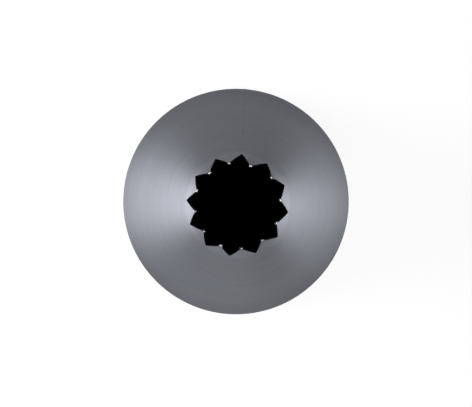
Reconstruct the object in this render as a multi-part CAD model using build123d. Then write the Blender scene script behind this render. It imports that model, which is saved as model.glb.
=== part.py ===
from build123d import *
import os
from math import asin, degrees, pi, radians, sin

# Star piping nozzle of thin stainless sheet, in millimetres.
# It stands on its base with the toothed crown up. The origin is the centre of the base plane,
# and +Z is the way the filling leaves.

# Sheet and cone
sheet_thickness = 0.3
base_radius = 16.5
cone_height = 43.5
turn_in_radius = 7.2
lip_bevel_share = 0.25

# Crown: the last stretch of the wall turns in towards the axis and is cut into teeth
crown_height = 6.5
crown_bend_share = 0.5
tip_radius = 5.64
tooth_count = 12
tooth_tip_width = 0.38
notch_depth = 4.0
notch_root_radius = 0.05
first_notch_azimuth = 23.1

# The notches point at a centre that lies a little beside the cone's axis, so the teeth are unevenly wide
index_offset = 0.28
index_offset_azimuth = 195

# Seam: it runs from the base to the root of one notch
seam_notch = 2
seam_width = 0.4
weld_bead_height = 0.1

# How far each cut runs past what it cuts
overrun = 2.0

# Worked out from the sizes above
nozzle_height = cone_height + crown_height
lip_bevel = sheet_thickness * lip_bevel_share
notch_root_height = nozzle_height - notch_depth
tooth_pitch = 2 * pi * (tip_radius - sheet_thickness / 2) / tooth_count
notch_mouth = tooth_pitch - tooth_tip_width
index_centre = Vector(index_offset, 0).rotate(Axis.Z, index_offset_azimuth)

# Half section of the outside: the cone's line, and the crown's curve with its control point
base_edge = Vector(base_radius, 0)
turn_in = Vector(turn_in_radius, cone_height)
slope = (turn_in - base_edge).normalized()
bend = turn_in + slope * crown_height * crown_bend_share
tip_edge = Vector(tip_radius, nozzle_height)
tip_slope = (tip_edge - bend).normalized()


def notch_azimuth(number):
    """The way that a notch points, seen from the index centre."""
    return first_notch_azimuth + 360 * number / tooth_count


def seam_azimuth():
    """Where the seam's notch crosses the wall, seen from the cone's own axis."""
    turn = radians(index_offset_azimuth - notch_azimuth(seam_notch))
    return notch_azimuth(seam_notch) + degrees(asin(index_offset / turn_in_radius * sin(turn)))


def face_path(depth):
    """The wall's outside from base to tip, or a face at some depth in it, carried on past both ends."""
    shift = slope.rotate(Axis.Z, 90) * depth
    tip_shift = tip_slope.rotate(Axis.Z, 90) * depth
    bend_shift = (shift + tip_shift) / (1 + slope.dot(tip_slope))

    cone_line = Line(base_edge + shift - slope * overrun, turn_in + shift)
    crown_curve = Bezier(turn_in + shift, bend + bend_shift, tip_edge + tip_shift)
    tip_line = Line(tip_edge + tip_shift, tip_edge + tip_shift + tip_slope * overrun)
    return [cone_line, crown_curve, tip_line]


def wall_section(thickness):
    """Half section of the wall: level at both ends, with the base lip's two edges bevelled."""
    outside = face_path(0)
    inside = face_path(thickness)
    base_end = Line(outside[0] @ 0, inside[0] @ 0)
    tip_end = Line(outside[-1] @ 1, inside[-1] @ 1)

    strip = make_face(outside + inside + [base_end, tip_end])
    level = Rectangle(base_radius, nozzle_height, align=(Align.MIN, Align.MIN))
    section = strip & level
    lip_corners = section.vertices().group_by(Axis.Y)[0]
    return chamfer(lip_corners, lip_bevel)


def wall(thickness):
    """The whole wall, all the way round the axis."""
    return revolve(Plane.XZ * wall_section(thickness), axis=Axis.Z)


def notch_cutter(number):
    """A wedge that points outwards from the index centre, with its rounded edge at the notch's root."""
    rise = notch_depth + overrun
    half_width = notch_mouth / 2 * rise / notch_depth
    root = Vector(0, notch_root_height)
    wedge = make_face(Polyline(root, root + (half_width, rise), root + (-half_width, rise), close=True))
    wedge = fillet(wedge.vertices().sort_by(Axis.Y)[0], notch_root_radius)
    cutter = extrude(Plane.YZ * wedge, amount=base_radius)
    return Pos(index_centre) * Rot(Z=notch_azimuth(number)) * cutter


def cut_crown(solid):
    """Cut all the notches from the sheet or from the weld."""
    for number in range(tooth_count):
        solid = solid - notch_cutter(number)
    return solid


def seam_slot():
    """The narrow space between the two edges of the rolled blank."""
    height = nozzle_height + 2 * overrun
    slot = Box(base_radius, seam_width, height, align=(Align.MIN, Align.CENTER, Align.MIN))
    return Rot(Z=seam_azimuth()) * Pos(overrun, 0, -overrun) * slot


def rolled_cone():
    """The toothed sheet, rolled until its two edges face each other across the seam."""
    return cut_crown(wall(sheet_thickness) - seam_slot())


def seam_weld():
    """The weld that fills the seam, flush outside and slightly proud inside."""
    return cut_crown(wall(sheet_thickness + weld_bead_height) & seam_slot())


os.makedirs("parts", exist_ok=True)
export_step(rolled_cone(), "parts/rolled_cone.step")
export_step(seam_weld(), "parts/seam_weld.step")
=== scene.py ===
from math import asin, atan2, cos, degrees, hypot, pi, radians, sin, sqrt

import bpy
from bpy.props import FloatProperty, FloatVectorProperty, IntProperty, PointerProperty
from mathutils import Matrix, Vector


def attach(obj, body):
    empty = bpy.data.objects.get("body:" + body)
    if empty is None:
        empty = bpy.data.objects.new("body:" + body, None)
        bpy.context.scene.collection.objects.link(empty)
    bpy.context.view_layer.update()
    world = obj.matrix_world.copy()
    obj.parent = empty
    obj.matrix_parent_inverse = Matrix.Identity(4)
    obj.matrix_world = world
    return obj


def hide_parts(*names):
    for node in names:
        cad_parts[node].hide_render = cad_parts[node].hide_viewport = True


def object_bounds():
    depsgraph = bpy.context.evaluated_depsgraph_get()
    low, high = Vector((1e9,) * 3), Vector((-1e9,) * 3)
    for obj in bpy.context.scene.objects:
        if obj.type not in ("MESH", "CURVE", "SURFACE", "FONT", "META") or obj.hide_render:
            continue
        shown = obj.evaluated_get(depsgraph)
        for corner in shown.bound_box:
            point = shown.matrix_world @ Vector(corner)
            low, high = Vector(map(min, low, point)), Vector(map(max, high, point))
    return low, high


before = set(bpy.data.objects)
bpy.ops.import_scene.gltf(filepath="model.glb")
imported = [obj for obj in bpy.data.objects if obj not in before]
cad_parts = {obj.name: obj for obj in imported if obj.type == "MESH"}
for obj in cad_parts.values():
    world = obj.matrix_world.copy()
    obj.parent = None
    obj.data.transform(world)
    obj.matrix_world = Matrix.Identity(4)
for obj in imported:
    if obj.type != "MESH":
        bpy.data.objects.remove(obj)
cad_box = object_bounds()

bl_info = {
    "name": "Star piping nozzle",
    "version": (1, 0, 0),
    "blender": (4, 5, 0),
    "location": "3D View > Sidebar > Nozzle",
    "description": "Models a star piping nozzle of brushed stainless sheet and the studio it stands in",
    "category": "Object",
}

mm = 0.001

# Vertices this near a row's height belong to that row
row_match = 0.0005 * mm
# Vertices this near each other are one, and this near a plane they lie on it
merge_distance = 0.001 * mm
# How exactly the base and the tips are cut level
cut_tolerance = 0.0001 * mm
# Two rows of the weld are apart if their heights differ in this many decimals of a metre
height_decimals = 7
# A face is level if its normal is at least this upright
level_share = 0.99
# Edges that turn by more than this stay sharp
sharp_turn = radians(50)

# Rows of faces up the cone, from there to the notches' roots, round the roots, and up the notches' flanks
cone_rows = 14
shoulder_rows = 5
root_rows = 4
flank_rows = 12
# Columns of faces across one tooth, and across the weld
tooth_columns = 12
weld_columns = 6
# Rows of faces across a bevel
bevel_rows = 2

# Places in a piece's list of finishes. The first is for its outside and the last for its flanks, which carry
# painted shade
inside_finish = 1
end_finish = 2

# The notches point at a centre a little beside the axis, and the seam runs up to the third of them.
# Azimuths are in degrees
first_notch_azimuth = 23.1
index_offset = 0.28 * mm
index_offset_azimuth = 195
seam_notch = 2

# The teeth are set by hand on the real one: how far each tip leans round the axis and reaches out from it,
# as shares of the sheet's thickness, and how far each notch is off its even place, as shares of the pitch
tooth_lean_shares = (0.1, 0.6, 0.3, 0.1, 0.05, -0.15, 0, 0.3, -0.4, -0.5, -0.4, -0.1)
tooth_reach_shares = (0.45, -0.6, 0.1, 0, 0.15, -0.05, -0.2, 0.3, 0.05, -0.25, -0.05, 0.1)
notch_slip_shares = (-0.01, 0, 0, 0.005, 0.02, 0.01, -0.03, 0, 0, 0, 0.005, -0.01)

# Studio floor: it lies a hair below the base, and its rim turns up in steps and then stands straight
floor_height = -0.05 * mm
floor_corners = 128
rim_turn_radius = 0.12
rim_turn_steps = 6
rim_step_turn = radians(15)
rim_rise = 0.1
rim_sharp_turn = radians(40)

# Black card, a painted shade for the dark inside of the nozzle: it lies a hair above the base plane, this
# many sheet thicknesses short of the outside
card_height = 0.02 * mm
card_corners = 96
card_gap_shares = 3

# Soft boxes: name, azimuth and rise in degrees, distance from the aim, width and height, power in watts
light_aim = (0, 0, 10 * mm)
soft_boxes = (
    ("left softbox", 178, 27, 600 * mm, (400 * mm, 440 * mm), 1.68),
    ("near left softbox", 177, 60, 58 * mm, (38 * mm, 15 * mm), 0.0052),
    ("right softbox", 359, 27, 600 * mm, (240 * mm, 440 * mm), 0.42),
    ("near right softbox", 355, 60, 58 * mm, (34 * mm, 15 * mm), 0.0055),
    ("front softbox", 260, 27, 600 * mm, (640 * mm, 440 * mm), 0.46),
    ("back softbox", 95, 27, 600 * mm, (400 * mm, 440 * mm), 0.11),
    ("overhead softbox", 90, 90, 1000 * mm, (200 * mm, 200 * mm), 0.22),
)

# Camera: its place, what it looks at and its lens, all in millimetres, then its clipping in metres
camera_place = (-1.6, 4.1, 400)
camera_aim = (0, -0.28, 0)
camera_lens = 208.8
camera_clip_start = 0.02
camera_clip_end = 10


def linear(hex_colour):
    """An sRGB hex colour as linear red, green and blue."""
    channels = [int(hex_colour[i:i + 2], 16) / 255 for i in (1, 3, 5)]
    return tuple(c / 12.92 if c <= 0.04045 else ((c + 0.055) / 1.055) ** 2.4 for c in channels)


# Sizes and colours that a user would change

class NozzleSizes(bpy.types.PropertyGroup):
    """Sizes of the rolled sheet, its teeth and its welded seam."""
    height: FloatProperty(
        name="Height", description="From the base plane to the cut ends of the teeth",
        default=cad_box[1][2], unit="LENGTH")
    base_radius: FloatProperty(
        name="Base radius", description="Outside radius of the open base",
        default=16.5 * mm, unit="LENGTH")
    sheet_thickness: FloatProperty(
        name="Sheet thickness", description="Thickness of the stainless sheet",
        default=0.3 * mm, unit="LENGTH")
    crown_height: FloatProperty(
        name="Crown height", description="Height of the stretch that turns in towards the axis",
        default=6.5 * mm, unit="LENGTH")
    turn_in_radius: FloatProperty(
        name="Turn-in radius", description="Outside radius where the straight cone ends",
        default=7.2 * mm, unit="LENGTH")
    tip_radius: FloatProperty(
        name="Tip radius", description="Outside radius at the cut ends of the teeth",
        default=5.64 * mm, unit="LENGTH")
    tooth_count: IntProperty(
        name="Teeth", description="Number of teeth round the opening", default=12)
    tooth_tip_width: FloatProperty(
        name="Tooth tip width", description="Width of the cut end of a tooth",
        default=0.38 * mm, unit="LENGTH")
    notch_depth: FloatProperty(
        name="Notch depth", description="From the cut ends of the teeth down to the notch's point",
        default=4 * mm, unit="LENGTH")
    notch_root_radius: FloatProperty(
        name="Notch root radius", description="Rounding at the bottom of each notch",
        default=0.02 * mm, unit="LENGTH")
    seam_width: FloatProperty(
        name="Seam width", description="Width of the weld that closes the rolled sheet",
        default=0.4 * mm, unit="LENGTH")
    bead_height: FloatProperty(
        name="Bead height", description="How far the weld stands proud inside",
        default=0.1 * mm, unit="LENGTH")
    lip_bevel: FloatProperty(
        name="Lip bevel", description="Bevel on the two edges of the base lip",
        default=0.075 * mm, unit="LENGTH")
    burr_rounding: FloatProperty(
        name="Deburring", description="Rounding left on the ends of the teeth by tumbling",
        default=0.02 * mm, unit="LENGTH")


class NozzleFinish(bpy.types.PropertyGroup):
    """Colours of the stainless steel."""
    steel: FloatVectorProperty(
        name="Brushed steel", description="The brushed outside of the sheet",
        subtype="COLOR", default=linear("#9DA0A8"))
    weld_steel: FloatVectorProperty(
        name="Dressed weld", description="The weld, ground flush and brushed with the sheet",
        subtype="COLOR", default=linear("#9B9DA3"))
    # Partly a painted highlight: the cut ends are made paler than steel, so that they shine as bright dots
    cut_steel_and_highlight: FloatVectorProperty(
        name="Cut edge with painted highlight", description="The bright sheared edges of the teeth and the base",
        subtype="COLOR", default=linear("#ECEDF0"))
    # Painted shade: the notch flanks and the weld's ends are made dark so that they read as shade
    flank_shade_steel: FloatVectorProperty(
        name="Flank with painted shade", description="The darker flanks of the notches, where the punch tore the sheet",
        subtype="COLOR", default=linear("#5A5C60"))
    mill_steel: FloatVectorProperty(
        name="Mill finish", description="The unbrushed inside of the sheet",
        subtype="COLOR", default=linear("#85878B"))
    edge_on_tint: FloatVectorProperty(
        name="Edge-on tint", description="How much of its light the brushed steel keeps, seen almost edge on",
        subtype="COLOR", default=linear("#BCBCBC"))


class NozzleStudio(bpy.types.PropertyGroup):
    """The studio that the nozzle stands in."""
    floor: FloatVectorProperty(
        name="Floor", description="Colour of the pale floor and its upturned rim",
        subtype="COLOR", default=linear("#FFFFFF"))
    board: FloatVectorProperty(
        name="Board", description="What the floor gives back of the lamps' light",
        subtype="COLOR", default=linear("#AAAAAA"))
    # Painted shade: the black card stands in for the shade inside the nozzle
    inside_shade: FloatVectorProperty(
        name="Inside shade", description="Colour of the black card under the nozzle",
        subtype="COLOR", default=linear("#070707"))
    surroundings: FloatVectorProperty(
        name="Surroundings", description="Colour of the dim room round the studio",
        subtype="COLOR", default=linear("#38383A"))
    floor_radius: FloatProperty(
        name="Floor radius", description="How far the floor reaches from the nozzle",
        default=2.3, unit="LENGTH")


# Small helpers

def select_only(piece):
    """Select one piece and nothing else, and make it the active one."""
    bpy.ops.object.select_all(action="DESELECT")
    bpy.context.view_layer.objects.active = piece
    piece.select_set(True)


def pick(piece, mode, test):
    """Go into edit mode on a piece with only the vertices, edges or faces that pass a test selected."""
    bpy.ops.object.mode_set(mode="OBJECT")
    select_only(piece)
    bpy.ops.object.mode_set(mode="EDIT")
    bpy.ops.mesh.select_mode(type=mode)
    bpy.ops.mesh.select_all(action="DESELECT")
    bpy.ops.object.mode_set(mode="OBJECT")

    mesh = piece.data
    if mode == "VERT":
        for vertex in mesh.vertices:
            vertex.select = test(vertex)
    elif mode == "EDGE":
        for edge in mesh.edges:
            edge.select = test(*(mesh.vertices[i].co for i in edge.vertices))
    else:
        for face in mesh.polygons:
            face.select = test(face)
    bpy.ops.object.mode_set(mode="EDIT")


def leave_edit():
    """Go back to object mode, which writes the edits into the mesh."""
    bpy.ops.object.mode_set(mode="OBJECT")


def finish_with(piece, kind, **settings):
    """Add a modifier with its settings and apply it."""
    select_only(piece)
    modifier = piece.modifiers.new(kind.title(), kind)
    for name, value in settings.items():
        setattr(modifier, name, value)
    bpy.ops.object.modifier_apply(modifier=modifier.name)


def apply_place(piece):
    """Write a piece's place, turn and scale into its mesh, so that it ends at the origin, unturned."""
    select_only(piece)
    bpy.ops.object.transform_apply(location=True, rotation=True, scale=True)


def name_piece(piece, name, materials):
    """Name a piece and its mesh, and give it its list of finishes."""
    piece.name = name
    piece.data.name = name
    for material in materials:
        piece.data.materials.append(material)


def add_disc(name, corners, radius, height):
    """A flat round sheet that lies at a height."""
    bpy.ops.object.select_all(action="DESELECT")
    bpy.ops.mesh.primitive_circle_add(
        vertices=corners, radius=radius, fill_type="NGON", location=(0, 0, height))
    disc = bpy.context.object
    disc.name = name
    apply_place(disc)
    return disc


def add_node(tree, kind, settings=None, links=None):
    """Add a node, set its values and link its inputs."""
    node = tree.nodes.new(kind)
    for name, value in (settings or {}).items():
        if isinstance(name, int) or name in node.inputs:
            node.inputs[name].default_value = value
        else:
            setattr(node, name, value)
    for name, source in (links or {}).items():
        tree.links.new(source, node.inputs[name])
    return node


def new_material(name):
    """An empty node material and its tree."""
    material = bpy.data.materials.new(name)
    material.use_nodes = True
    material.node_tree.nodes.clear()
    return material, material.node_tree


def colour(value):
    """Red, green and blue with the full opacity that a colour socket also wants."""
    return (*value, 1)


# Finishes

def round_and_up(tree, arc, rise):
    """A pattern place that runs slowly round the axis and quickly up the wall, with no join."""
    place = add_node(tree, "ShaderNodeTexCoord").outputs["Object"]
    flat = add_node(tree, "ShaderNodeVectorMath", {"operation": "MULTIPLY", 1: (1, 1, 0)}, {0: place})
    ring = add_node(tree, "ShaderNodeVectorMath", {"operation": "NORMALIZE"}, {0: flat.outputs[0]})
    wide = add_node(
        tree, "ShaderNodeVectorMath", {"operation": "SCALE", "Scale": arc}, {0: ring.outputs[0]})
    tall = add_node(tree, "ShaderNodeVectorMath", {"operation": "MULTIPLY", 1: (0, 0, rise)}, {0: place})
    both = add_node(
        tree, "ShaderNodeVectorMath", {"operation": "ADD"}, {0: wide.outputs[0], 1: tall.outputs[0]})
    return both.outputs[0]


def round_the_axis(tree):
    """The way round the nozzle's axis, the same for every piece."""
    place = add_node(tree, "ShaderNodeTexCoord").outputs["Object"]
    way = add_node(
        tree, "ShaderNodeVectorMath", {"operation": "CROSS_PRODUCT", 0: (0, 0, 1)}, {1: place})
    world = add_node(
        tree, "ShaderNodeVectorTransform",
        {"vector_type": "VECTOR", "convert_from": "OBJECT", "convert_to": "WORLD"}, {0: way.outputs[0]})
    return world.outputs[0]


def brushed_stainless(name, base, edge_on_tint):
    """Brushed 304 stainless sheet. The grit ran round the axis, so each light is drawn out along the slope
    into a broad soft streak, crossed by faint rings where the belt bit deeper."""
    material, tree = new_material(name)

    # Grit lines are about 0.05 mm apart on the real one, drawn here at 0.25 mm so that they show.
    # The arcs say how often a line or band fades in and out on its way round
    grit_pitch = 0.25 * mm
    grit_arc = 2.5
    lines = add_node(
        tree, "ShaderNodeTexNoise", {"Scale": 1, "Detail": 3, "Roughness": 0.7},
        {"Vector": round_and_up(tree, grit_arc, 1 / grit_pitch)})
    # Belt passes leave bands about 1.2 mm high
    band_height = 1.2 * mm
    band_arc = 1.2
    bands = add_node(
        tree, "ShaderNodeTexNoise", {"Scale": 1, "Detail": 2, "Roughness": 0.6},
        {"Vector": round_and_up(tree, band_arc, 1 / band_height)})
    line_weight = 0.6
    mixed = add_node(
        tree, "ShaderNodeMath", {"operation": "MULTIPLY_ADD", 1: line_weight},
        {0: lines.outputs["Fac"], 2: bands.outputs["Fac"]})

    # Lines and bands together run from about 0.5 to 1.1. They change the tone and the gloss a little
    spread = {"From Min": 0.5, "From Max": 1.1}
    tone = add_node(
        tree, "ShaderNodeMapRange", {**spread, "To Min": 0.93, "To Max": 1.07},
        {"Value": mixed.outputs[0]})
    # Painted light on the tone: a painted highlight, lighter across the crown round the opening, and painted
    # shade, darker towards the foot of the cone
    place = add_node(tree, "ShaderNodeTexCoord").outputs["Object"]
    height = add_node(tree, "ShaderNodeSeparateXYZ", {}, {0: place}).outputs["Z"]
    # Painted highlight: up to 15 percent lighter across the crown
    crown_highlight = add_node(
        tree, "ShaderNodeMapRange",
        {"interpolation_type": "SMOOTHSTEP", "From Min": 44.2 * mm, "From Max": 46.2 * mm,
         "To Min": 1, "To Max": 1.15},
        {"Value": height})
    # Painted shade: down to 88 percent at the base, fading out by 14 mm up
    foot_shade = add_node(
        tree, "ShaderNodeMapRange",
        {"interpolation_type": "SMOOTHSTEP", "From Min": 0, "From Max": 14 * mm,
         "To Min": 0.88, "To Max": 1},
        {"Value": height})
    tone_with_foot_shade = add_node(
        tree, "ShaderNodeMath", {"operation": "MULTIPLY"}, {0: tone.outputs[0], 1: foot_shade.outputs[0]})
    bright = add_node(
        tree, "ShaderNodeMath", {"operation": "MULTIPLY"}, {0: tone_with_foot_shade.outputs[0], 1: crown_highlight.outputs[0]})
    tinted = add_node(
        tree, "ShaderNodeVectorMath", {"operation": "SCALE", 0: base}, {"Scale": bright.outputs[0]})
    rough = add_node(
        tree, "ShaderNodeMapRange", {**spread, "To Min": 0.66, "To Max": 0.72},
        {"Value": mixed.outputs[0]})
    relief = add_node(
        tree, "ShaderNodeBump", {"Strength": 0.15, "Distance": 0.02 * mm}, {"Height": lines.outputs["Fac"]})
    around = round_the_axis(tree)

    # The quarter turn stretches each highlight across the grit, so it runs up the slope
    steel = add_node(
        tree, "ShaderNodeBsdfPrincipled",
        {"Metallic": 1, "Anisotropic": 0.95, "Anisotropic Rotation": 0.25,
         "Specular Tint": colour(edge_on_tint)},
        {"Base Color": tinted.outputs[0], "Roughness": rough.outputs[0],
         "Normal": relief.outputs[0], "Tangent": around})
    add_node(tree, "ShaderNodeOutputMaterial", {}, {"Surface": steel.outputs[0]})
    return material


def sheared_stainless(name, base):
    """Sheared or punched edge of stainless sheet, tumbled: glossy, with the fine drag marks of the cut. Its
    colour is given: very pale on the ends of the teeth, partly a painted highlight, and dark down the
    notches, a painted shade."""
    material, tree = new_material(name)
    place = add_node(tree, "ShaderNodeTexCoord").outputs["Object"]
    mark_pitch = 0.1 * mm
    marks = add_node(
        tree, "ShaderNodeTexNoise", {"Scale": 1 / mark_pitch, "Detail": 2}, {"Vector": place})
    rough = add_node(
        tree, "ShaderNodeMapRange", {"To Min": 0.07, "To Max": 0.13}, {"Value": marks.outputs["Fac"]})
    relief = add_node(
        tree, "ShaderNodeBump", {"Strength": 0.1, "Distance": 0.01 * mm}, {"Height": marks.outputs["Fac"]})
    steel = add_node(
        tree, "ShaderNodeBsdfPrincipled", {"Metallic": 1, "Base Color": colour(base)},
        {"Roughness": rough.outputs[0], "Normal": relief.outputs[0]})
    add_node(tree, "ShaderNodeOutputMaterial", {}, {"Surface": steel.outputs[0]})
    return material


def mill_stainless(name, base):
    """Cold-rolled mill finish, left unbrushed inside: grey and softly cloudy."""
    material, tree = new_material(name)
    place = add_node(tree, "ShaderNodeTexCoord").outputs["Object"]
    cloud_size = 3 * mm
    clouds = add_node(
        tree, "ShaderNodeTexNoise", {"Scale": 1 / cloud_size, "Detail": 4}, {"Vector": place})
    rough = add_node(
        tree, "ShaderNodeMapRange", {"To Min": 0.4, "To Max": 0.55}, {"Value": clouds.outputs["Fac"]})
    steel = add_node(
        tree, "ShaderNodeBsdfPrincipled", {"Metallic": 1, "Base Color": colour(base)},
        {"Roughness": rough.outputs[0]})
    add_node(tree, "ShaderNodeOutputMaterial", {}, {"Surface": steel.outputs[0]})
    return material


def pale_floor(name, base, board_tone):
    """Matt white studio board. It shows white to the eye and in the metal, and keeps the soft shadow."""
    material, tree = new_material(name)
    board = add_node(tree, "ShaderNodeBsdfDiffuse", {"Color": colour(board_tone)})
    path = add_node(tree, "ShaderNodeLightPath")
    eye_or_metal = add_node(
        tree, "ShaderNodeMath", {"operation": "ADD"},
        {0: path.outputs["Is Camera Ray"], 1: path.outputs["Is Glossy Ray"]})
    seen = add_node(
        tree, "ShaderNodeMath", {"operation": "ADD", "use_clamp": True},
        {0: eye_or_metal.outputs[0], 1: path.outputs["Is Transmission Ray"]})
    # A little below white round the nozzle, where the shadow falls, and white by half a metre away
    place = add_node(tree, "ShaderNodeTexCoord").outputs["Object"]
    away = add_node(tree, "ShaderNodeVectorMath", {"operation": "LENGTH"}, {0: place})
    pale = add_node(
        tree, "ShaderNodeMapRange",
        {"From Min": 60 * mm, "From Max": 500 * mm, "To Min": 0.83, "To Max": 1},
        {"Value": away.outputs["Value"]})
    level = add_node(
        tree, "ShaderNodeMath", {"operation": "MULTIPLY"}, {0: seen.outputs[0], 1: pale.outputs[0]})
    white = add_node(
        tree, "ShaderNodeEmission", {"Color": colour(base)}, {"Strength": level.outputs[0]})
    both = add_node(tree, "ShaderNodeAddShader", {}, {0: board.outputs[0], 1: white.outputs[0]})
    add_node(tree, "ShaderNodeOutputMaterial", {}, {"Surface": both.outputs[0]})
    return material


def shade_card_material(name, base):
    """Black card under the nozzle, a painted shade: it stands in for the dark inside, so that the opening
    reads black from above.
    """
    material, tree = new_material(name)
    card = add_node(tree, "ShaderNodeBsdfDiffuse", {"Color": colour(base), "Roughness": 1})
    add_node(tree, "ShaderNodeOutputMaterial", {}, {"Surface": card.outputs[0]})
    return material


# Shape of the wall

def ways(azimuth):
    """The way out from the axis at an azimuth in degrees, and the way round."""
    turn = radians(azimuth)
    return Vector((cos(turn), sin(turn), 0)), Vector((-sin(turn), cos(turn), 0))


class Wall:
    """The wall's outside line and its notches, worked out from the sizes."""

    def __init__(self, sizes):
        self.sizes = sizes
        self.cone_height = sizes.height - sizes.crown_height
        self.slope = (sizes.base_radius - sizes.turn_in_radius) / self.cone_height
        self.bend_radius = sizes.turn_in_radius - self.slope * sizes.crown_height / 2

        middle = sizes.tip_radius - sizes.sheet_thickness / 2
        pitch = 2 * pi * middle / sizes.tooth_count
        mouth = pitch - sizes.tooth_tip_width
        self.flank = mouth / 2 / sizes.notch_depth * sizes.tip_radius / middle
        self.point_height = sizes.height - sizes.notch_depth
        self.lean = atan2(self.flank, 1)
        self.root_centre = self.point_height + sizes.notch_root_radius / sin(self.lean)
        self.root_height = self.root_centre - sizes.notch_root_radius
        self.flank_start = self.root_centre - sizes.notch_root_radius * sin(self.lean)

    def radius(self, height):
        """Outside radius at a height: a straight cone, then the crown's curve."""
        if height <= self.cone_height:
            return self.sizes.base_radius - self.slope * height
        share = (height - self.cone_height) / self.sizes.crown_height
        start = self.sizes.turn_in_radius
        return (1 - share) ** 2 * start + 2 * share * (1 - share) * self.bend_radius \
            + share ** 2 * self.sizes.tip_radius

    def half_notch(self, height):
        """Half the notch's width at a height, with the rounded root."""
        if height <= self.root_height:
            return 0
        if height < self.flank_start:
            drop = self.root_centre - height
            return sqrt(max(self.sizes.notch_root_radius ** 2 - drop ** 2, 0))
        return (height - self.point_height) * self.flank

    def height_at(self, aside):
        """The height where the notch is half as wide as a distance each side of its middle."""
        if aside < self.sizes.notch_root_radius * cos(self.lean):
            return self.root_centre - sqrt(self.sizes.notch_root_radius ** 2 - aside ** 2)
        return self.point_height + aside / self.flank

    def rows(self):
        """Heights of the rows, from just below the base to just past the tips."""
        spare = self.sizes.sheet_thickness
        rows = [-spare + (self.cone_height + spare) * i / cone_rows for i in range(cone_rows + 1)]
        shoulder = self.root_height - self.cone_height
        rows += [self.cone_height + shoulder * i / shoulder_rows for i in range(1, shoulder_rows + 1)]
        turn = pi / 2 - self.lean
        rows += [self.root_centre - self.sizes.notch_root_radius * cos(turn * i / root_rows)
                 for i in range(1, root_rows + 1)]
        top = self.sizes.height + spare
        rows += [self.flank_start + (top - self.flank_start) * i / flank_rows
                 for i in range(1, flank_rows + 1)]
        return rows

    def notch_azimuth(self, number):
        """Where a notch crosses the wall, in degrees. The notches point at a centre beside the axis."""
        count = self.sizes.tooth_count
        even = first_notch_azimuth + 360 * number / count
        turn = radians(index_offset_azimuth - even)
        off = degrees(asin(index_offset / self.sizes.turn_in_radius * sin(turn)))
        return even + off + notch_slip_shares[number % count] * 360 / count


# Modelling of the pieces

def stand_up_strip(columns, width, rows):
    """A strip one row high, standing up at the lowest row, with its upper edge picked."""
    bpy.ops.object.select_all(action="DESELECT")
    bpy.ops.mesh.primitive_grid_add(
        x_subdivisions=columns, y_subdivisions=1, size=1, rotation=(pi / 2, 0, 0))
    strip = bpy.context.object
    first = rows[1] - rows[0]
    middle = rows[0] + first / 2
    bpy.ops.transform.resize(value=(width, 1, first))
    bpy.ops.transform.translate(value=(0, 0, middle))
    apply_place(strip)
    pick(strip, "EDGE", lambda start, end: min(start.z, end.z) > middle)
    return strip


def cut_tooth(wall):
    """One tooth's share of the flat blank, standing up, extruded row by row and narrowed at its notches."""
    sizes = wall.sizes
    pitch = 2 * pi * sizes.base_radius / sizes.tooth_count
    rows = wall.rows()
    tooth = stand_up_strip(tooth_columns, pitch, rows)
    half = pitch / 2
    for below, height in zip(rows[1:], rows[2:]):
        bpy.ops.mesh.extrude_edges_move(TRANSFORM_OT_translate={"value": (0, 0, height - below)})
        new_half = pitch / 2 - wall.half_notch(height) * sizes.base_radius / wall.radius(height)
        bpy.ops.transform.resize(value=(new_half / half, 1, 1), center_override=(0, 0, 0))
        half = new_half
    leave_edit()
    return tooth


def lay_out_blank(wall):
    """The flat blank: the tooth copied along it, each copy stretched to its own pitch, and joined."""
    count = wall.sizes.tooth_count
    around = 2 * pi * wall.sizes.base_radius
    tooth = cut_tooth(wall)
    seam_azimuth = wall.notch_azimuth(seam_notch)
    sides = [wall.notch_azimuth(seam_notch + i) - seam_azimuth for i in range(count)] + [360]

    teeth = []
    for left, right in zip(sides, sides[1:]):
        copy = tooth.copy()
        copy.data = tooth.data.copy()
        bpy.context.collection.objects.link(copy)
        copy.scale.x = (right - left) / 360 * count
        copy.location.x = ((left + right) / 2 - 180) / 360 * around
        apply_place(copy)
        teeth.append(copy)
    bpy.data.objects.remove(tooth)

    bpy.ops.object.select_all(action="DESELECT")
    for copy in teeth:
        copy.select_set(True)
    bpy.context.view_layer.objects.active = teeth[0]
    bpy.ops.object.join()
    return teeth[0]


def set_teeth(sheet, wall):
    """Set each tooth by hand: push its tip round and in or out, fading to nothing at the roots."""
    sizes = wall.sizes
    top = wall.rows()[-1]
    for number in range(sizes.tooth_count):
        left = wall.notch_azimuth(number)
        right = wall.notch_azimuth(number + 1)
        out, side = ways((left + right) / 2)
        push = out * tooth_reach_shares[number] + side * tooth_lean_shares[number]
        push *= sizes.sheet_thickness
        reach = cos(radians((right - left) / 2)) * wall.radius(top)
        pick(sheet, "VERT", lambda vertex: vertex.co.z > top - row_match and vertex.co.dot(out) > reach)
        bpy.ops.transform.translate(
            value=push, use_proportional_edit=True, use_proportional_connected=True,
            proportional_edit_falloff="LINEAR", proportional_size=sizes.notch_depth)
    leave_edit()


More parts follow.
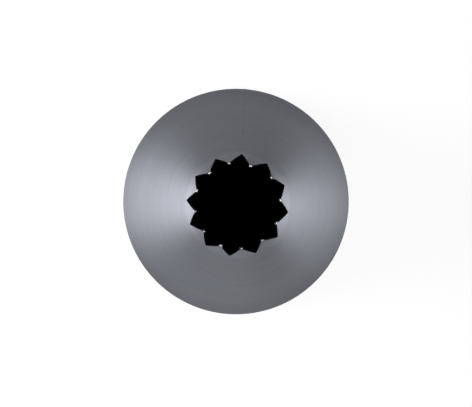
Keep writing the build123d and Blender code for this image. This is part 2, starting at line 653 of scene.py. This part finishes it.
def roll_sheet(name, wall, materials):
    """Lay out the blank, roll it, draw each row in, set the teeth, part the seam and thicken the sheet."""
    sizes = wall.sizes
    sheet = lay_out_blank(wall)
    name_piece(sheet, name, materials)
    pick(sheet, "VERT", lambda vertex: True)
    bpy.ops.mesh.remove_doubles(threshold=merge_distance)
    leave_edit()

    # Rolled round the axis until its two ends meet at the seam
    finish_with(sheet, "SIMPLE_DEFORM", deform_method="BEND", deform_axis="Z", angle=2 * pi)
    sheet.location.y = -sizes.base_radius
    apply_place(sheet)
    sheet.rotation_euler.z = radians(wall.notch_azimuth(seam_notch) - 90)
    apply_place(sheet)

    # Each row drawn in to the wall's line
    for height in wall.rows():
        pick(sheet, "VERT", lambda vertex: abs(vertex.co.z - height) < row_match)
        share = wall.radius(height) / sizes.base_radius
        bpy.ops.transform.resize(value=(share, share, 1), center_override=(0, 0, 0))
    set_teeth(sheet, wall)
    open_seam(sheet, wall)

    # Thickness, inwards, then both ends trimmed level and the base closed with a ring of faces
    thicken(sheet, sizes.sheet_thickness)
    trim_base(sheet)
    middle = sizes.base_radius - sizes.sheet_thickness / 2
    pick(sheet, "EDGE", lambda start, end: lies_on_base(start, end) and not crosses(start, end, middle))
    bpy.ops.mesh.bridge_edge_loops()
    leave_edit()
    trim_tips(sheet, sizes)
    return sheet


def lies_on_base(*places):
    """Whether all these places are on the base plane."""
    return all(abs(place.z) < merge_distance for place in places)


def crosses(start, end, radius):
    """Whether an edge runs from one side of a radius to the other."""
    return (start.xy.length - radius) * (end.xy.length - radius) < 0


def open_seam(sheet, wall):
    """Part the two ends of the rolled sheet by the seam's width."""
    half = wall.sizes.seam_width / 2
    # Faces at the end of the sheet have their centres this near the seam's middle
    near = 3 * half
    out, side = ways(wall.notch_azimuth(seam_notch))
    for way in (side, -side):
        end = set()
        for face in sheet.data.polygons:
            if face.center.dot(out) > 0 and 0 < face.center.dot(way) < near:
                end.update(face.vertices)
        narrow = [i for i in end if sheet.data.vertices[i].co.dot(way) < half - merge_distance]
        for number in narrow:
            short = half - sheet.data.vertices[number].co.dot(way)
            pick(sheet, "VERT", lambda vertex: vertex.index == number)
            bpy.ops.transform.translate(value=way * short)
        leave_edit()


def thicken(piece, thickness):
    """Give a piece its thickness, inwards, with the inside finish and the flank finish, dark with painted
    shade, which is its last.
    """
    finish_with(
        piece, "SOLIDIFY", thickness=thickness, offset=-1, use_even_offset=True,
        material_offset=inside_finish, material_offset_rim=len(piece.data.materials) - 1)


def trim_base(piece):
    """Cut level at the base plane, and leave the end open."""
    pick(piece, "EDGE", lambda start, end: True)
    bpy.ops.mesh.bisect(plane_co=(0, 0, 0), plane_no=(0, 0, 1), clear_inner=True, threshold=cut_tolerance)
    leave_edit()


def trim_tips(piece, sizes):
    """Cut the teeth level at the nozzle's height, and close their ends."""
    pick(piece, "EDGE", lambda start, end: True)
    bpy.ops.mesh.bisect(
        plane_co=(0, 0, sizes.height), plane_no=(0, 0, 1), clear_outer=True, use_fill=True,
        threshold=cut_tolerance)
    leave_edit()


def mark_level_ends(piece):
    """Give the level ends their finish: sheared and very pale on the sheet, partly a painted highlight, and
    dark on the weld, a painted shade.
    """
    pick(piece, "FACE", lambda face: abs(face.normal.z) > level_share)
    piece.active_material_index = end_finish
    bpy.ops.object.material_slot_assign()
    leave_edit()


def round_off(piece, width, test):
    """Bevel the edges that pass a test."""
    pick(piece, "EDGE", test)
    bpy.ops.mesh.bevel(offset=width, segments=bevel_rows, affect="EDGES", clamp_overlap=True)
    leave_edit()


def deburr(piece, sizes):
    """Bevel the lip, and round the worn ends of the teeth slightly."""
    top = sizes.height - row_match
    round_off(piece, sizes.lip_bevel, lies_on_base)
    round_off(piece, sizes.burr_rounding, lambda start, end: min(start.z, end.z) > top)


def lay_weld(name, wall, materials):
    """A strip that fills the seam, standing up, then thickened inwards past the sheet into a low bead."""
    sizes = wall.sizes
    rows = [height for height in wall.rows() if height <= wall.root_height + merge_distance]
    weld = stand_up_strip(weld_columns, sizes.seam_width, rows)
    for below, height in zip(rows[1:], rows[2:]):
        bpy.ops.mesh.extrude_edges_move(TRANSFORM_OT_translate={"value": (0, 0, height - below)})
    leave_edit()
    name_piece(weld, name, materials)

    # The top end follows the notch: each column reaches the height where the notch is that wide
    top = rows[-1]
    half = sizes.seam_width / 2
    side_columns = weld_columns // 2
    for column in range(1, side_columns + 1):
        aside = half * column / side_columns
        rise = wall.height_at(aside) - top
        pick(weld, "VERT", lambda vertex: vertex.co.z > top - row_match
             and abs(abs(vertex.co.x) - aside) < row_match)
        bpy.ops.transform.translate(value=(0, 0, rise))
    leave_edit()

    # Each vertex out to the wall's line, then round to the seam
    for height in sorted({round(vertex.co.z, height_decimals) for vertex in weld.data.vertices}):
        pick(weld, "VERT", lambda vertex: abs(vertex.co.z - height) < row_match)
        bpy.ops.transform.translate(value=(0, -wall.radius(height), 0))
    leave_edit()
    weld.rotation_euler.z = radians(wall.notch_azimuth(seam_notch) + 90)
    apply_place(weld)

    thicken(weld, sizes.sheet_thickness + sizes.bead_height)
    trim_base(weld)
    pick(weld, "EDGE", lies_on_base)
    bpy.ops.mesh.edge_face_add()
    leave_edit()
    return weld


def smooth(piece):
    """Shade smooth between cut edges, and let the large faces set the light along them."""
    select_only(piece)
    bpy.ops.object.shade_smooth_by_angle(angle=sharp_turn)
    finish_with(piece, "WEIGHTED_NORMAL", keep_sharp=True)


# Operators

class NOZZLE_OT_rolled_sheet(bpy.types.Operator):
    """Model the toothed sheet, rolled until its edges face each other across the seam"""
    bl_idname = "nozzle.rolled_sheet"
    bl_label = "Rolled and toothed sheet"
    bl_options = {"REGISTER", "UNDO"}

    def execute(self, context):
        sizes = context.scene.nozzle_sizes
        finish = context.scene.nozzle_finish
        materials = (
            brushed_stainless("brushed stainless sheet", finish.steel, finish.edge_on_tint),
            mill_stainless("mill finish stainless", finish.mill_steel),
            sheared_stainless("sheared edge with painted highlight", finish.cut_steel_and_highlight),
            sheared_stainless("stainless flank with painted shade", finish.flank_shade_steel),
        )
        sheet = roll_sheet("brushed_cone", Wall(sizes), materials)
        mark_level_ends(sheet)
        deburr(sheet, sizes)
        smooth(sheet)
        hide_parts("rolled_cone")
        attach(sheet, "root")
        return {"FINISHED"}


class NOZZLE_OT_dressed_seam(bpy.types.Operator):
    """Model the weld that fills the seam, flush outside and slightly proud inside"""
    bl_idname = "nozzle.dressed_seam"
    bl_label = "Dressed seam"
    bl_options = {"REGISTER", "UNDO"}

    def execute(self, context):
        sizes = context.scene.nozzle_sizes
        finish = context.scene.nozzle_finish
        materials = (
            brushed_stainless("brushed weld", finish.weld_steel, finish.edge_on_tint),
            mill_stainless("weld bead", finish.mill_steel),
            sheared_stainless("weld end with painted shade", finish.flank_shade_steel),
        )
        weld = lay_weld("dressed_seam", Wall(sizes), materials)
        mark_level_ends(weld)
        smooth(weld)
        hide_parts("seam_weld")
        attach(weld, "root")
        return {"FINISHED"}


class NOZZLE_OT_studio(bpy.types.Operator):
    """Set up the floor, the soft lights, the world and the camera"""
    bl_idname = "nozzle.studio"
    bl_label = "Studio"
    bl_options = {"REGISTER", "UNDO"}

    def execute(self, context):
        sizes = context.scene.nozzle_sizes
        studio = context.scene.nozzle_studio
        self.lay_floor(studio)
        self.lay_card(sizes, studio)
        self.hang_lights()
        self.set_world(context, studio)
        self.set_camera(context)
        context.scene.view_settings.view_transform = "Standard"
        return {"FINISHED"}

    def lay_floor(self, studio):
        """A round floor whose rim turns up, so that low views meet it and not the dim world."""
        floor = add_disc("floor", floor_corners, studio.floor_radius, floor_height)
        pick(floor, "EDGE", lambda start, end: True)
        for step in range(1, rim_turn_steps + 1):
            angle = rim_step_turn * step
            last = rim_step_turn * (step - 1)
            rise = rim_turn_radius * (cos(last) - cos(angle))
            reach = studio.floor_radius + rim_turn_radius * sin(angle)
            grow = reach / (studio.floor_radius + rim_turn_radius * sin(last))
            bpy.ops.mesh.extrude_edges_move(TRANSFORM_OT_translate={"value": (0, 0, rise)})
            bpy.ops.transform.resize(value=(grow, grow, 1), center_override=(0, 0, 0))
        bpy.ops.mesh.extrude_edges_move(TRANSFORM_OT_translate={"value": (0, 0, rim_rise)})
        leave_edit()
        bpy.ops.object.shade_smooth_by_angle(angle=rim_sharp_turn)
        floor.data.materials.append(pale_floor("matt white board", studio.floor, studio.board))

    def lay_card(self, sizes, studio):
        """A black card inside the base, as painted shade."""
        radius = sizes.base_radius - card_gap_shares * sizes.sheet_thickness
        card = add_disc("card", card_corners, radius, card_height)
        card.data.materials.append(shade_card_material("black card for painted shade", studio.inside_shade))

    def hang_lights(self):
        """Soft boxes round the nozzle and overhead, and two small ones near its crown, all facing it."""
        aim = Vector(light_aim)
        for name, azimuth, rise, distance, size, power in soft_boxes:
            flat = distance * cos(radians(rise))
            turn = radians(azimuth)
            way = Vector((flat * cos(turn), flat * sin(turn), distance * sin(radians(rise))))
            bpy.ops.object.light_add(type="AREA", location=aim + way)
            light = bpy.context.object
            light.name = name
            light.rotation_euler = (-way).to_track_quat("-Z", "Y").to_euler()
            light.data.shape = "RECTANGLE"
            light.data.size, light.data.size_y = size
            light.data.energy = power
            light.visible_camera = False

    def set_world(self, context, studio):
        """A plain dim grey world."""
        world = bpy.data.worlds.new("plain grey")
        world.use_nodes = True
        world.node_tree.nodes.clear()
        sky = add_node(
            world.node_tree, "ShaderNodeBackground", {"Color": colour(studio.surroundings), "Strength": 1})
        add_node(world.node_tree, "ShaderNodeOutputWorld", {}, {"Surface": sky.outputs[0]})
        context.scene.world = world

    def set_camera(self, context):
        """A long lens, almost straight above the tip."""
        place = Vector(camera_place) * mm
        look = Vector(camera_aim) * mm - place
        bpy.ops.object.camera_add(location=place)
        camera = bpy.context.object
        camera.name = "camera"
        camera.rotation_euler = (atan2(look.y, -look.z), atan2(-look.x, hypot(look.y, look.z)), 0)
        camera.data.lens = camera_lens
        camera.data.clip_start = camera_clip_start
        camera.data.clip_end = camera_clip_end
        context.scene.camera = camera


class NOZZLE_PT_build(bpy.types.Panel):
    """The nozzle's pieces, sizes and finishes"""
    bl_idname = "NOZZLE_PT_build"
    bl_label = "Star piping nozzle"
    bl_space_type = "VIEW_3D"
    bl_region_type = "UI"
    bl_category = "Nozzle"

    def draw(self, context):
        layout = self.layout
        for operator in (NOZZLE_OT_rolled_sheet, NOZZLE_OT_dressed_seam, NOZZLE_OT_studio):
            layout.operator(operator.bl_idname)
        for group in (context.scene.nozzle_sizes, context.scene.nozzle_finish, context.scene.nozzle_studio):
            box = layout.box()
            for name in group.__annotations__:
                box.prop(group, name)


classes = (
    NozzleSizes, NozzleFinish, NozzleStudio,
    NOZZLE_OT_rolled_sheet, NOZZLE_OT_dressed_seam, NOZZLE_OT_studio,
    NOZZLE_PT_build,
)


def register():
    """Make the classes known, and give the scene its sizes, finishes and studio."""
    for cls in classes:
        bpy.utils.register_class(cls)
    bpy.types.Scene.nozzle_sizes = PointerProperty(type=NozzleSizes)
    bpy.types.Scene.nozzle_finish = PointerProperty(type=NozzleFinish)
    bpy.types.Scene.nozzle_studio = PointerProperty(type=NozzleStudio)


def unregister():
    """Take back what register did."""
    del bpy.types.Scene.nozzle_studio
    del bpy.types.Scene.nozzle_finish
    del bpy.types.Scene.nozzle_sizes
    for cls in reversed(classes):
        bpy.utils.unregister_class(cls)


def main():
    """Model the nozzle and its studio."""
    register()
    bpy.ops.nozzle.rolled_sheet()
    bpy.ops.nozzle.dressed_seam()
    bpy.ops.nozzle.studio()


if __name__ == "__main__":
    main()
